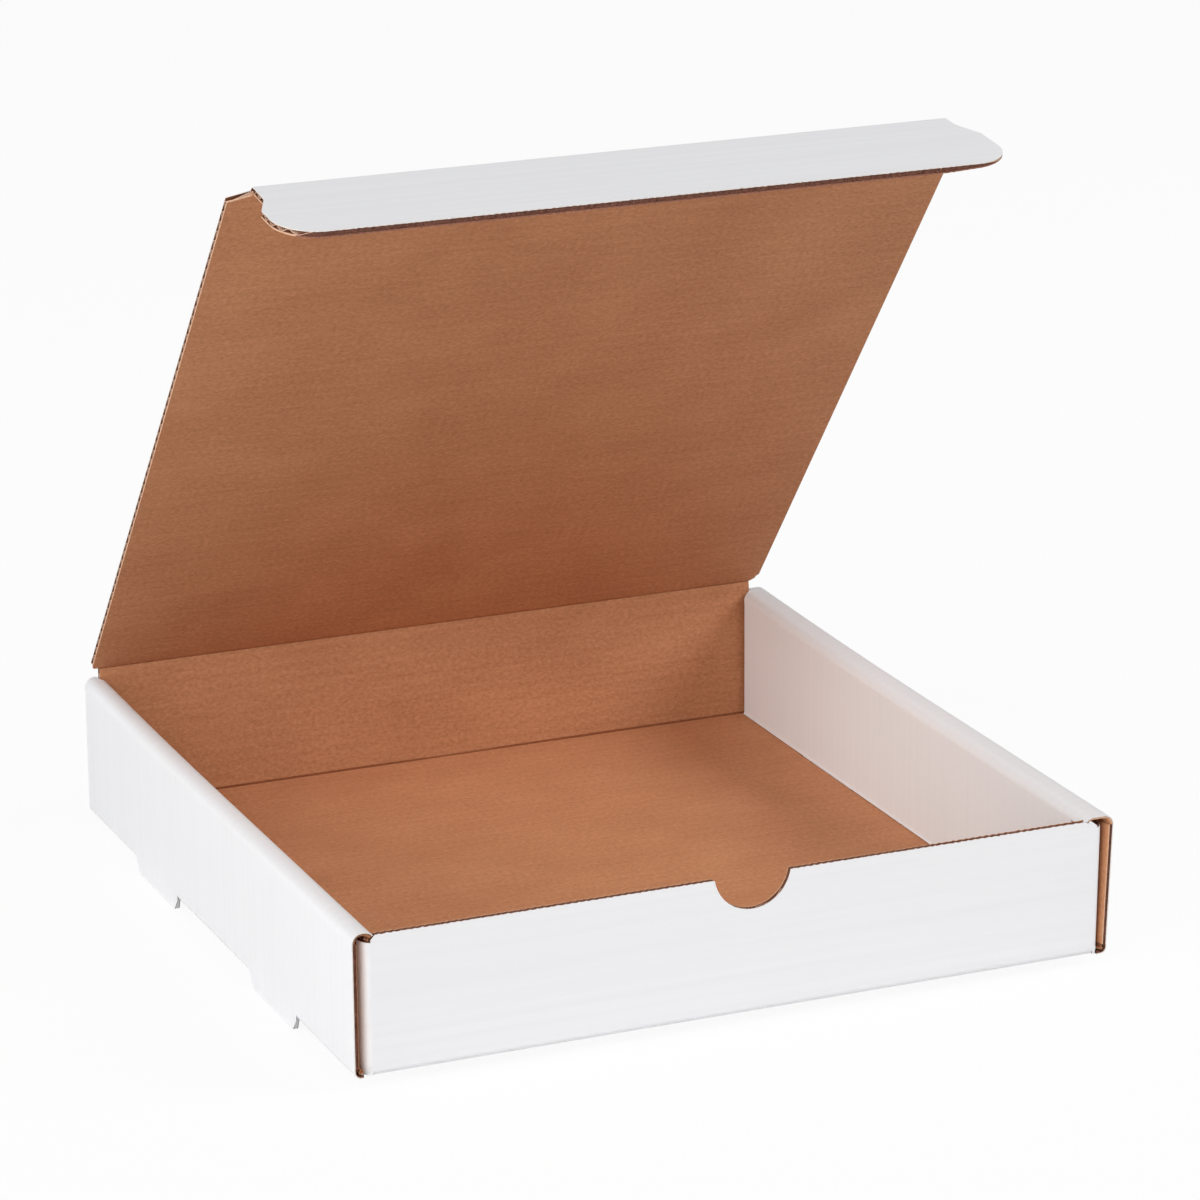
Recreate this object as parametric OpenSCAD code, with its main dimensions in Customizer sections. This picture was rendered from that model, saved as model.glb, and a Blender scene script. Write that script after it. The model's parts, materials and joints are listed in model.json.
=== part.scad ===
// Corrugated mailing box with a hinged lid: one die-cut sheet, white outside and kraft
// inside, folded so that each side wall is rolled over double. Millimetres, +Z up. The
// origin is the middle of the floor's underside, and -Y is the front with the thumb notch.

/* [Box] */
// Width over the outer faces of the side walls
box_w = 340; // [240:1:480]
// Depth from the front wall's face to the rear wall's face
box_d = 350; // [240:1:480]
// Height of the rolled side walls above the floor's underside
wall_h = 62.5; // [50:0.5:120]
// How far the front wall's top edge lies below the side walls' top
front_drop = 1.5; // [1:0.1:6]
// How far the lid's crease lies above the side walls' top
hinge_rise = 7.5; // [4:0.5:12]
// Thickness of the corrugated board
board = 3; // [2:0.1:4]

/* [Side walls] */
// Slack between one layer of board and the next
layer_gap = 0.5; // [0.3:0.1:1]
// Outer radius of each crease in the rolled top edge
roll_r = 4.5; // [4:0.1:6]
// How far the left outer panel's top stands out past its foot
left_flare = 0; // [0:0.1:4]
// How far the right outer panel's top stands out past its foot
right_flare = 4; // [0:0.1:5]
// Slot left behind the front wall for the lid's ears
ear_slot = 9; // [8.5:0.1:14]
// Clearance where one cut edge faces another panel
cut_gap = 0.4; // [0.3:0.1:1]

/* [Corner flaps] */
// Length of the corner flaps that lie inside the side walls
corner_l = 78; // [40:1:100]
// Slope cut off the upper free corner of each corner flap
corner_slope = 14; // [5:1:30]
// Chamfer on the front wall's upper corners, under the rolled edge
corner_chamfer = 3.6; // [3:0.1:8]

/* [Locks] */
// Length of each floor slot, and of the tongue that was cut from it
lock_l = 58; // [40:1:70]
// Distance between the middles of the two locks along a side wall
lock_pitch = 154; // [110:1:170]
// How far the tongues reach below the floor
tongue_drop = 5.5; // [3:0.1:8]
// Slant of each end of a tongue
tongue_slant = 5; // [2:0.5:8]
// Clearance between a lock tab and each end of its slot
tab_gap = 3; // [1:0.5:6]

/* [Thumb notch] */
// Radius of the thumb notch in the front wall
notch_r = 17.4; // [12:0.1:22]
// Depth of the thumb notch below the front wall's top edge
notch_depth = 15; // [8:0.5:16]
// Distance of the notch from the middle of the front wall
notch_x = 6; // [-30:0.5:30]

/* [Lid] */
// Distance that each side edge of the lid lies inside the side wall's outer face
lid_inset = 2.7; // [1:0.1:6]
// How far the open lid leans forward from upright, in degrees
lid_lean = 39; // [0:0.1:80]
// Gap between the front wall and the middle of the tuck flap's crease with the lid shut
tuck_gap = 1.8; // [1.8:0.1:5]
// Height over which each side of the lid narrows towards its crease
hinge_chamfer = 6; // [3:0.5:15]
// Width of the shoulder beside each end of the tuck flap's crease
shoulder_w = 10.3; // [6:0.1:16]
// Height over which each shoulder slopes
shoulder_h = 3; // [1:0.5:8]

/* [Tuck flap] */
// Depth of the tuck flap from its crease to its free edge
flap_l = 57; // [25:1:60]
// How far the open tuck flap is folded from the lid's plane, in degrees
flap_fold = 58.5; // [0:0.5:95]
// How far each ear stands out past the end of the crease
ear_w = 6; // [2:0.1:6]
// Radius of the ears' outer corners
ear_r = 19; // [8:1:24]
// Straight stretch between the crease and the left ear
left_neck = 14; // [8:0.5:18]
// Straight stretch between the crease and the right ear
right_neck = 8.5; // [8:0.5:18]
// Length of the sloping run from each neck out to its ear
ear_run = 14; // [8:1:18]

/* [Board] */
// Pitch of the flutes
flute_pitch = 6.3; // [5:0.1:9]
// Thickness of each liner
liner = 0.4; // [0.3:0.05:0.6]
// Thickness of the fluted medium
medium = 0.3; // [0.2:0.05:0.5]

/* [Hidden] */
$fn = 48;
eps = 0.01;

half_w = box_w / 2;
half_d = box_d / 2;
front_h = wall_h - front_drop;
hinge_h = wall_h + hinge_rise;

// Layers of a side wall, from the outside in: outer panel, corner flap, inner panel.
outer_x = half_w - board;
corner_x = outer_x - layer_gap;
side_w = 3 * board + 2 * layer_gap;
inner_x = half_w - side_w;
roll_z = wall_h - roll_r;
panel_half = corner_x - board;
corner_h = roll_z - cut_gap;
fold_z = board / 6;

// The floor slots reach from the outer panel's fold to just past the inner panel.
lock_centres = [-lock_pitch / 2, lock_pitch / 2];
tab_l = lock_l - 2 * tab_gap;
tab_z = board / 10;

// The lid turns about a line in the middle of the board, and so does the tuck flap.
bead_r = board / 2;
bead_gap = 0.3;
hinge_y = half_d - bead_r;
lid_half = half_w - lid_inset;
lid_l = hinge_y + half_d - board - tuck_gap;
root_half = lid_half - shoulder_w;

// Shape of one flute: the medium is a wave between the two liners.
wave_h = bead_r - liner - medium / 2;
flute_steps = 8;
flute_start = 25;
crush = 5;

// Draws children in the XZ plane and extrudes them from y0 back to y1.
module along_y(y0, y1) {
    translate([0, y1, 0])
        rotate([90, 0, 0])
            linear_extrude(y1 - y0)
                children();
}

// Draws children in the YZ plane and extrudes them from x0 out to x1.
module along_x(x0, x1) {
    translate([x0, 0, 0])
        rotate([90, 0, 90])
            linear_extrude(x1 - x0)
                children();
}

// Section of a square bend of the board, about its own centre, a quarter turn on from heading.
module bend(r, heading) {
    rotate(heading)
        intersection() {
            difference() {
                circle(r);
                if (r > board)
                    circle(r - board);
            }
            square(2 * r);
        }
}

// Section of the crease between the floor and a wall, seen along the crease.
module floor_fold() {
    translate([-board, board])
        bend(board, -90);
}

module floor_panel() {
    slot_x = inner_x - cut_gap;
    difference() {
        translate([-outer_x, board - half_d, 0])
            cube([2 * outer_x, box_d - 2 * board, board]);
        for (side = [-1, 1], y = lock_centres)
            translate([side > 0 ? slot_x : -outer_x - eps, y - lock_l / 2, -eps])
                cube([outer_x - slot_x + eps, lock_l, board + 2 * eps]);
    }
}

// Creases between the floor and the outer side panels, broken at the tongues.
module side_fold() {
    difference() {
        along_y(-half_d, half_d)
            translate([half_w, 0])
                floor_fold();
        for (y = lock_centres)
            translate([outer_x - eps, y - lock_l / 2, -eps])
                cube([board + 2 * eps, lock_l, board + eps]);
    }
}

// Outline of a tongue, in the YZ plane, hanging from the top of the floor's crease.
module tongue() {
    polygon([
        [-lock_l / 2, board],
        [-lock_l / 2, 0],
        [tongue_slant - lock_l / 2, -tongue_drop],
        [lock_l / 2 - tongue_slant, -tongue_drop],
        [lock_l / 2, 0],
        [lock_l / 2, board]
    ]);
}

// Right side wall: outer panel with its tongues, rolled top edge, inner panel with its tabs.
module side_wall(flare) {
    roll_x = half_w + flare - roll_r;
    roll_back = half_d - board - cut_gap;
    inner_front = board + ear_slot - half_d;
    inner_z = board + cut_gap;

    side_fold();
    along_y(-half_d, half_d)
        polygon([
            [outer_x, board],
            [half_w, board],
            [half_w + flare, roll_z],
            [outer_x + flare, roll_z]
        ]);
    along_x(outer_x, half_w)
        for (y = lock_centres)
            translate([y, 0])
                tongue();
    along_y(-half_d, roll_back) {
        translate([roll_x, roll_z])
            bend(roll_r, 0);
        translate([inner_x + roll_r, wall_h - board])
            square([roll_x - inner_x - roll_r, board]);
        translate([inner_x + roll_r, roll_z])
            bend(roll_r, 90);
    }
    along_x(inner_x, inner_x + board) {
        translate([inner_front, inner_z])
            square([roll_back - inner_front, roll_z - inner_z]);
        for (y = lock_centres)
            translate([y - tab_l / 2, tab_z])
                square([tab_l, inner_z - tab_z + eps]);
    }
}

// A corner flap with its upright crease, on the right end of a wall whose face is at y = 0.
module corner_flap() {
    translate([panel_half, board, fold_z])
        linear_extrude(corner_h - fold_z)
            bend(board, -90);
    along_x(panel_half, corner_x)
        polygon([
            [board, board + cut_gap],
            [corner_l - corner_slope / 3, board + cut_gap],
            [corner_l, board + cut_gap + corner_slope],
            [corner_l, corner_h - corner_slope],
            [corner_l - corner_slope, corner_h],
            [board, corner_h]
        ]);
}

// Crease with the floor and both corner flaps, for a wall whose face is at y = 0.
module wall_folds() {
    rotate([0, 0, -90])
        along_y(-panel_half, panel_half)
            floor_fold();
    for (side = [0, 1])
        mirror([side, 0, 0])
            corner_flap();
}

module front_wall() {
    chamfer_x = inner_x - cut_gap;
    translate([0, -half_d, 0])
        wall_folds();
    difference() {
        along_y(-half_d, board - half_d)
            polygon([
                [-panel_half, board],
                [panel_half, board],
                [panel_half, front_h - corner_chamfer],
                [chamfer_x, front_h - corner_chamfer],
                [chamfer_x - corner_chamfer, front_h],
                [corner_chamfer - chamfer_x, front_h],
                [-chamfer_x, front_h - corner_chamfer],
                [-panel_half, front_h - corner_chamfer]
            ]);
        translate([notch_x, board + eps - half_d, front_h + notch_r - notch_depth])
            rotate([90, 0, 0])
                cylinder(h = board + 2 * eps, r = notch_r, $fn = 96);
    }
}

module rear_wall() {
    rotate([0, 0, 180])
        translate([0, -half_d, 0])
            wall_folds();
    translate([-panel_half, half_d - board, board])
        cube([2 * panel_half, board, hinge_h - bead_r - bead_gap - board]);
}

module tray() {
    color([0.94, 0.94, 0.95]) {
        floor_panel();
        side_wall(right_flare);
        mirror([1, 0, 0])
            side_wall(left_flare);
        front_wall();
        rear_wall();
    }
}

// Section of one hollow flute between the medium and the liner above it.
module flute() {
    span = 360 - 2 * flute_start;
    arch = [for (i = [0:flute_steps])
        let (a = flute_start + span * i / flute_steps)
            [flute_pitch * a / 360, wave_h * cos(a) + medium / 2]];
    roof = bead_r - liner;
    polygon(concat(arch, [[arch[flute_steps][0], roof], [arch[0][0], roof]]));
}

// Fluted board between two heights, in the YZ plane with its middle on the Z axis.
module fluted_section(z0, z1) {
    count = floor((z1 - z0 - 2 * crush) / flute_pitch - 0.5);
    start = (z0 + z1 - (count + 0.5) * flute_pitch) / 2;
    difference() {
        translate([-bead_r, z0])
            square([board, z1 - z0]);
        for (i = [0:count - 1]) {
            translate([0, start + i * flute_pitch])
                mirror([1, -1])
                    flute();
            translate([0, start + (i + 0.5) * flute_pitch])
                mirror([1, 0])
                    mirror([1, -1])
                        flute();
        }
    }
}

// Fluted board cut to the outline that the children draw in the XZ plane.
module fluted_panel(half, z0, z1) {
    intersection() {
        along_x(-half, half)
            fluted_section(z0, z1);
        along_y(-board, board)
            children();
    }
}

// Rounded board edge that turns about the crease at the origin.
module bead(half) {
    rotate([0, 90, 0])
        cylinder(h = 2 * half, r = bead_r, center = true);
}

module lid() {
    end_z = lid_l - bead_r - bead_gap;
    color([0.72, 0.5, 0.36])
        translate([0, hinge_y, hinge_h])
            rotate([lid_lean, 0, 0]) {
                bead(panel_half);
                fluted_panel(lid_half, 0, end_z)
                    polygon([
                        [-panel_half, 0],
                        [panel_half, 0],
                        [lid_half, hinge_chamfer],
                        [lid_half, end_z - shoulder_h],
                        [root_half, end_z],
                        [-root_half, end_z],
                        [-lid_half, end_z - shoulder_h],
                        [-lid_half, hinge_chamfer]
                    ]);
            }
}

module tuck_flap() {
    ear_x = root_half + ear_w;
    color([0.93, 0.93, 0.94])
        translate([0, hinge_y, hinge_h])
            rotate([lid_lean, 0, 0])
                translate([0, 0, lid_l])
                    rotate([flap_fold, 0, 0]) {
                        bead(root_half);
                        fluted_panel(ear_x, 0, flap_l)
                            union() {
                                polygon([
                                    [-root_half, 0],
                                    [root_half, 0],
                                    [root_half, right_neck],
                                    [ear_x, right_neck + ear_run],
                                    [ear_x, flap_l - ear_r],
                                    [ear_x - ear_r, flap_l - ear_r],
                                    [ear_x - ear_r, flap_l],
                                    [ear_r - ear_x, flap_l],
                                    [ear_r - ear_x, flap_l - ear_r],
                                    [-ear_x, flap_l - ear_r],
                                    [-ear_x, left_neck + ear_run],
                                    [-root_half, left_neck]
                                ]);
                                for (side = [-1, 1])
                                    translate([side * (ear_x - ear_r), flap_l - ear_r])
                                        circle(ear_r);
                            }
                    }
}

tray();
lid();
tuck_flap();
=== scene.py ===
import json
import math

import bmesh
import bpy
from mathutils import Matrix, Vector, noise


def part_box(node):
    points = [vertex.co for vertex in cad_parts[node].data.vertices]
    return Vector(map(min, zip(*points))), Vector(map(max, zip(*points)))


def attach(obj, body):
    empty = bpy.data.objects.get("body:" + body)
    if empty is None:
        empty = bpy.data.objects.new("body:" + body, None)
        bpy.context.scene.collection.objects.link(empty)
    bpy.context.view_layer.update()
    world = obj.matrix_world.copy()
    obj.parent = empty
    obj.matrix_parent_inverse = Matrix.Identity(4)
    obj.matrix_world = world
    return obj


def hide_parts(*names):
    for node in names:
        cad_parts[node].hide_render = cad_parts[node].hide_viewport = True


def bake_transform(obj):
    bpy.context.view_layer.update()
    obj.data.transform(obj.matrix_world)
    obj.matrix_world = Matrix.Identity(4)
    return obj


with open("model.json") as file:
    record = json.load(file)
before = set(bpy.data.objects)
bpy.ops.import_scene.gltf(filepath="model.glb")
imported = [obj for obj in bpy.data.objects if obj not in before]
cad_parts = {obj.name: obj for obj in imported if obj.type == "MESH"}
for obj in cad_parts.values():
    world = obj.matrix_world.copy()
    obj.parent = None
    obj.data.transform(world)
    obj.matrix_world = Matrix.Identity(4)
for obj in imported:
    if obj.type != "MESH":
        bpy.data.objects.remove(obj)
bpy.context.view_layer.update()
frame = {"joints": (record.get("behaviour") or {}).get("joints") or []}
print("frame loaded")

# All shapes are worked out in millimetres and scaled once, when a mesh is made.
mm = 0.001
xAxis = Vector((1, 0, 0))
yAxis = Vector((0, 1, 0))
zAxis = Vector((0, 0, 1))

boardSettings = {
    "thickness": 3.0,
    "liner": 0.45,
    "medium": 0.35,
    "flutePitch": 6.3,
    "creaseDip": 0.9,  # depth of the valley inside a crease
    "creaseLead": 1.1,  # how far from a crease the board starts to thin
    "pinch": 0.35,  # how much thinner the board is where it is rolled
    "toothPitch": 3.1,  # of the cutting rule, along the flutes
    "toothDepth": 0.4,
    "toothStep": 0.5,
    "fray": 0.75,  # how far the torn medium lies back from a cut edge
    "flutesBack": 0.12,  # how far the flutes' cut ends lie back
    "fluteRoom": 0.3,  # left between hidden flute ends and a panel's side
}

traySettings = {
    "frontTop": 61.0,
    "wallTop": 62.5,
    "rollRadius": 4.5,
    "rightFlare": 4.0,
    "leftFlare": 0.0,
    "layerGap": 0.5,
    "cutGap": 0.4,
    "earSlot": 9.0,
    "flapLength": 78.0,
    "flapSlope": 14.0,
    "cornerRadius": 4.5,
    "cornerDepth": 11.0,  # how far back a corner flap's fold reaches
    "cornerDrop": 3.6,  # how far the front wall's top falls away under the roll
    "cornerRun": 3.0,
    "edgeCrush": 0.9,  # how much the die thins the side wall's front edge
    "rollCrush": 1.6,  # and the front end of the roll
    "rollEnd": 144.0,  # degrees that the roll's crushed front end turns through
    "crushReach": 4.0,
    "rollRoom": 0.3,  # between the front wall and the roll's inner half
    "rearGap": 2.4,  # between the inner panels and the rear wall
    "rearLift": 2.5,  # how far the side walls' rear ends have sprung up
    "rightSplay": (3.0, 4.2),  # how far the front right corner stands out, low and high
    "splayRun": 10.0,  # width over which the front wall bends out to it
    "footSplay": 2.0,  # how far the foot of the right wall stands out there
    "burr": 0.5,  # how far the inner panel's lower edge is bent in
    "scallopPitch": 1.6,
    "scallopDepth": 0.35,
    "lockLength": 58.0,
    "lockPitch": 154.0,
    "tongueDrop": 5.5,
    "tongueSlant": 5.0,
    "tongueCrush": 1.7,  # how much thinner a tongue is at its ends
    "tabGap": 3.0,
    "notchRadius": 17.4,
    "notchDepth": 15.0,
    "notchX": 6.0,
    "notchRoom": 0.8,  # left between the flutes and the top edge or the notch
    "arcSteps": 10,
}

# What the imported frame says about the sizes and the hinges.
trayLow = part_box("tray")[0] / mm
halfWidth = -trayLow.x
halfDepth = -trayLow.y
thickness = boardSettings["thickness"]
fluteRoom = boardSettings["fluteRoom"]
hinges = {joint["name"]: joint for joint in frame["joints"]}
hinge = Vector(hinges["lid_hinge"]["pos_m"]) / mm
tuckHinge = Vector(hinges["tuck_flap_hinge"]["pos_m"]) / mm
lidLean = math.atan2(hinge.y - tuckHinge.y, tuckHinge.z - hinge.z)
lidLength = (tuckHinge - hinge).length
tuckFold = math.radians(95 - hinges["tuck_flap_hinge"]["range_deg"][1])

outerX = halfWidth - thickness
cornerX = outerX - traySettings["layerGap"]
panelHalf = cornerX - thickness
innerX = halfWidth - 3 * thickness - 2 * traySettings["layerGap"]
rollZ = traySettings["wallTop"] - traySettings["rollRadius"]
cornerTop = rollZ - traySettings["cutGap"]
cornerFoot = thickness / 6
flatHalf = cornerX - traySettings["cornerRadius"]
topHalf = innerX


# Shader and geometry maths: a socket whose arithmetic adds Math nodes to its tree.
class Wire:
    def __init__(self, graph, socket):
        self.graph = graph
        self.socket = socket

    def math(self, operation, first, second=None):
        values = {0: first} if second is None else {0: first, 1: second}
        return self.graph.add("ShaderNodeMath", {"operation": operation}, values)

    def __add__(self, other):
        return self.math("ADD", self, other)

    def __radd__(self, other):
        return self.math("ADD", other, self)

    def __sub__(self, other):
        return self.math("SUBTRACT", self, other)

    def __rsub__(self, other):
        return self.math("SUBTRACT", other, self)

    def __mul__(self, other):
        return self.math("MULTIPLY", self, other)

    def __rmul__(self, other):
        return self.math("MULTIPLY", other, self)

    def sine(self):
        return self.math("SINE", self)


class Graph:
    def __init__(self, tree):
        self.tree = tree
        self.tree.nodes.clear()

    def add(self, kind, settings=None, values=None, output=0):
        node = self.tree.nodes.new(kind)
        for name, value in (settings or {}).items():
            if name == "stops":
                self.setStops(node.color_ramp, value)
            else:
                setattr(node, name, value)
        for name, value in (values or {}).items():
            if isinstance(value, Wire):
                self.tree.links.new(value.socket, node.inputs[name])
            else:
                node.inputs[name].default_value = value
        return Wire(self, node.outputs[output]) if node.outputs else node

    def setStops(self, ramp, stops):
        while len(ramp.elements) < len(stops):
            ramp.elements.new(0.5)
        for element, (place, colour) in zip(ramp.elements, stops):
            element.position = place
            element.color = (*colour, 1)


def newMaterial(name):
    material = bpy.data.materials.new(name)
    material.use_nodes = True
    return material, Graph(material.node_tree)


# Position in the flat blank, in metres: along the flutes, and across them.
def blankPlace(graph):
    flat = graph.add("ShaderNodeUVMap", {"uv_map": "blank"})
    along = graph.add("ShaderNodeSeparateXYZ", values={0: flat})
    across = Wire(graph, along.socket.node.outputs[1])
    return along, across


def stretched(graph, along, across, depth=0.0):
    return graph.add("ShaderNodeCombineXYZ", values={0: along, 1: across, 2: depth})


def grain(graph, place, scale, detail=3.0, roughness=0.55):
    values = {"Vector": place, "Scale": scale, "Detail": detail, "Roughness": roughness}
    return graph.add("ShaderNodeTexNoise", values=values)


def mixColour(graph, factor, first, second, blend="MIX"):
    settings = {"data_type": "RGBA", "blend_type": blend}
    return graph.add("ShaderNodeMix", settings, {0: factor, 6: first, 7: second}, output=2)


def finishMaterial(graph, colour, roughness, height, bumpDepth):
    bump = graph.add("ShaderNodeBump", values={"Strength": 1.0, "Distance": bumpDepth, "Height": height})
    values = {"Base Color": colour, "Roughness": roughness, "Normal": bump, "IOR": 1.4}
    shader = graph.add("ShaderNodeBsdfPrincipled", values=values)
    graph.add("ShaderNodeOutputMaterial", values={"Surface": shader})


# Ridges that the flutes press through a liner, as a height and as faint painted shading of the ridges in the
# colour.
def fluteWave(across):
    pitch = boardSettings["flutePitch"] * mm
    return (across * (2 * math.pi / pitch)).sine()


def makeKraftLiner():
    look = {
        "pale": (0.620, 0.296, 0.150),
        "middle": (0.535, 0.242, 0.117),
        "deep": (0.455, 0.194, 0.090),
        "fleck": (0.300, 0.120, 0.055),
        "cloudScale": 22.0,
        "mottleScale": 420.0,
        "streakDensity": 330.0,  # streaks per metre across the flutes
        "bumpDepth": 0.00008,
    }
    material, graph = newMaterial("kraftLiner")
    along, across = blankPlace(graph)
    clouds = grain(graph, stretched(graph, along, across * 1.3), look["cloudScale"], 3.0)
    mottle = grain(graph, stretched(graph, along, across * 1.5), look["mottleScale"], 3.0, 0.6)
    density = look["streakDensity"]
    streaks = grain(graph, stretched(graph, along * 24.0, across * density), 1.0, 3.0, 0.6)
    fibres = grain(graph, stretched(graph, along * 700.0, across * 1500.0), 1.0, 2.0)
    wave = fluteWave(across)
    # The flute wave's small share of the tone is painted shading of the flutes' ridges.
    tone = clouds * 0.2 + streaks * 0.12 + mottle * 0.44 + fibres * 0.24 + wave * 0.01
    stops = [(0.39, look["deep"]), (0.5, look["middle"]), (0.61, look["pale"])]
    colour = graph.add("ShaderNodeValToRGB", {"stops": stops}, {0: tone})
    specks = grain(graph, stretched(graph, along * 320.0, across * 640.0), 1.0, 1.0)
    mapping = {0: specks, 1: 0.66, 2: 0.78, 3: 0.0, 4: 0.3}
    speckMask = graph.add("ShaderNodeMapRange", values=mapping)
    colour = mixColour(graph, speckMask, colour, (*look["fleck"], 1))
    height = wave * 0.3 + streaks * 0.3 + fibres * 0.5 + mottle * 0.5
    finishMaterial(graph, colour, 0.86 - mottle * 0.1, height, look["bumpDepth"])
    return material


# The rolled walls' liner is painted a little less red inside the box, to cancel the red light that the kraft
# reflects onto it.
def makeWhiteLiner(name="whiteLiner", bounceTint=False):
    look = {
        "clean": (0.862, 0.864, 0.878),
        "shade": (0.838, 0.835, 0.848),
        "warm": (0.848, 0.838, 0.842),
        "bounceCancel": (0.965, 1.0, 1.0),  # what the colour is multiplied by inside the box
        "cloudScale": 14.0,
        "streakDensity": 260.0,
        "bumpDepth": 0.00003,
    }
    material, graph = newMaterial(name)
    along, across = blankPlace(graph)
    clouds = grain(graph, stretched(graph, along, across), look["cloudScale"], 3.0)
    density = look["streakDensity"]
    streaks = grain(graph, stretched(graph, along * 4.0, across * density), 1.0, 3.0, 0.6)
    fibres = grain(graph, stretched(graph, along * 900.0, across * 1700.0), 1.0, 2.0)
    wave = fluteWave(across)
    # The streaks along the flutes and the flute wave mix in the shade tone: painted shading along the
    # flutes.
    mapping = {0: streaks + wave * 0.03, 1: 0.4, 2: 0.75}
    tone = graph.add("ShaderNodeMapRange", values=mapping)
    colour = mixColour(graph, tone, (*look["clean"], 1), (*look["shade"], 1))
    mapping = {0: clouds, 1: 0.5, 2: 0.8, 3: 0.0, 4: 0.3}
    warmth = graph.add("ShaderNodeMapRange", values=mapping)
    colour = mixColour(graph, warmth, colour, (*look["warm"], 1))
    # Painted correction for light: the colour loses some red towards the walls' inner faces, where the
    # kraft's reflected light reddens it.
    if bounceTint:
        place = graph.add("ShaderNodeTexCoord", output=3)
        aside = graph.add("ShaderNodeSeparateXYZ", values={0: place})
        aside = graph.add("ShaderNodeMath", {"operation": "ABSOLUTE"}, {0: aside})
        reach = traySettings["rollRadius"]
        mapping = {0: aside, 1: innerX * mm, 2: (innerX + reach) * mm, 3: 1.0, 4: 0.0}
        inside = graph.add("ShaderNodeMapRange", values=mapping)
        colour = mixColour(graph, inside, colour, (*look["bounceCancel"], 1), "MULTIPLY")
    height = wave * 0.3 + streaks * 0.3 + fibres * 0.3
    finishMaterial(graph, colour, 0.6 + clouds * 0.1, height, look["bumpDepth"])
    return material


def makeCutPaper(name, pale, dark):
    material, graph = newMaterial(name)
    place = graph.add("ShaderNodeTexCoord", output=3)
    fibres = grain(graph, place, 1800.0, 3.0)
    tone = graph.add("ShaderNodeMapRange", values={0: fibres, 1: 0.35, 2: 0.65})
    colour = mixColour(graph, tone, (*dark, 1), (*pale, 1))
    finishMaterial(graph, colour, 0.9 - fibres * 0.1, fibres, 0.00012)
    return material


paints = [
    makeWhiteLiner(),
    makeKraftLiner(),
    makeCutPaper("whiteCutEdge", (0.86, 0.82, 0.78), (0.70, 0.62, 0.56)),
    makeCutPaper("kraftCutEdge", (0.80, 0.52, 0.36), (0.58, 0.32, 0.20)),
    # The liners' backs: the kraft's own brown, darkened as painted shade for the flute cells and the cut
    # edges that take this paint.
    makeCutPaper("linerBackAndShade", (0.33, 0.15, 0.08), (0.22, 0.09, 0.045)),
    # A darker copy of the kraft cut edge: painted shade, for the tuck flap's cut edges.
    makeCutPaper("shadedKraftCutEdge", (0.36, 0.16, 0.11), (0.22, 0.085, 0.06)),
    makeWhiteLiner("rolledLinerBounceTint", bounceTint=True),
]
whitePaint, kraftPaint, whiteCutPaint, kraftCutPaint, backAndShadePaint, shadedCutPaint, rolledPaint = range(7)
fluteMaterial = makeCutPaper("flutedMedium", (0.74, 0.50, 0.37), (0.52, 0.31, 0.21))
# The torn medium is the flutes' paper, painted near-black as the shade among its torn fibres at a cut.
shadedTornMaterial = makeCutPaper("tornMediumShaded", (0.22, 0.085, 0.052), (0.08, 0.030, 0.020))
print("materials made")


# One place on the outer liner: where it is, which way it faces, how thick the board is
# there, and how far along the path it lies in the flat blank.
class Station:
    def __init__(self, point, normal, room=thickness, run=0.0):
        self.point = Vector(point)
        self.normal = Vector(normal).normalized()
        self.room = room
        self.run = run


def measured(stations, start=0.0):
    run = start
    for before, station in zip([stations[0], *stations], stations):
        run += (station.point - before.point).length
        station.run = run
    return stations


# Stations round a bend whose outer liner has this radius, about a centre in the plane
# of two axes; the angle is turned from the first axis towards the second.
def arcStations(centre, radius, first, second, start, end, steps, pinch=0.0):
    found = []
    for step in range(steps + 1):
        turn = math.radians(start + (end - start) * step / steps)
        normal = first * math.cos(turn) + second * math.sin(turn)
        found.append(Station(centre + normal * radius, normal, thickness - pinch))
    return found


# A quarter bend made along a crease: the board thins towards it, and its inner liner is
# left with a valley there.
def creaseStations(centre, radius, first, second, start, end, steps):
    dip, lead = boardSettings["creaseDip"], boardSettings["creaseLead"]
    arc = arcStations(centre, radius, first, second, start, end, steps)
    for step, station in enumerate(arc):
        station.room -= dip * (0.6 + 0.4 * math.sin(math.pi * step / steps))
    found = []
    for station, way in ((arc[0], -1), (arc[-1], 1)):
        along = (arc[-1].point - arc[0].point).normalized() * way
        level = (along - station.normal * along.dot(station.normal)).normalized()
        found.append(Station(station.point + level * lead, station.normal))
    return [found[0], *arc, found[1]]


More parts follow.
